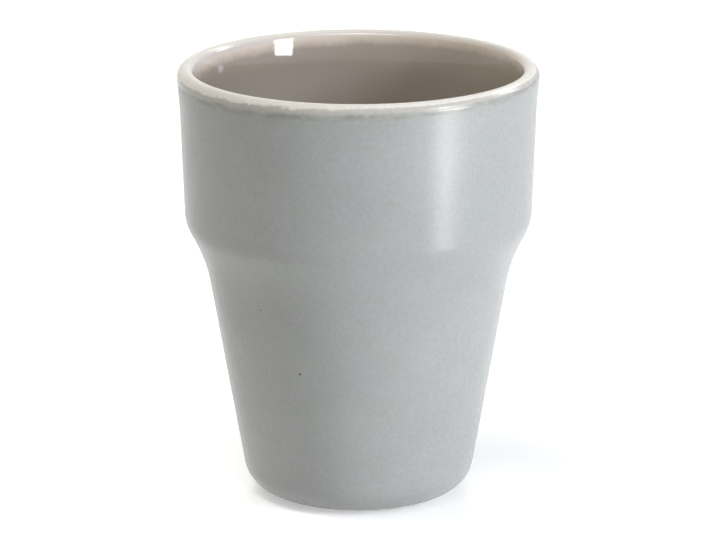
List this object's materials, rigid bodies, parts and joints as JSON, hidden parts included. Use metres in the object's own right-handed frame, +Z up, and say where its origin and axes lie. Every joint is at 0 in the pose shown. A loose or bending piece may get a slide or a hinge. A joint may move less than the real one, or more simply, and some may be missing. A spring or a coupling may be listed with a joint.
{
  "type": "coffee cup",
  "caption": "Handle-less stoneware coffee cup with a wide collar, a sloping shoulder and a tapered wall; it holds a hot drink and stacks into the next cup.",
  "frame": {"origin": "on the table, under the centre of the cup", "axes": "+Z up along the cup's axis, from the foot to the rim; the cup is round, so X and Y are alike"},
  "size_m": [0.08, 0.08, 0.097],
  "materials": {
    "bare_stoneware": "dry fired clay, fine-grained",
    "satin_grey_glaze": "satin blue-grey glaze with faint mottling",
    "cream_glaze": "gloss cream glaze that breaks over the rim",
    "gloss_taupe_glaze": "smooth gloss taupe glaze"
  },
  "bodies": {
    "root": {"stoneware_body": "bare_stoneware", "outer_glaze": "satin_grey_glaze", "rim_glaze": "cream_glaze", "inner_glaze": "gloss_taupe_glaze", "foot_glaze": "satin_grey_glaze"}
  },
  "joints": []
}
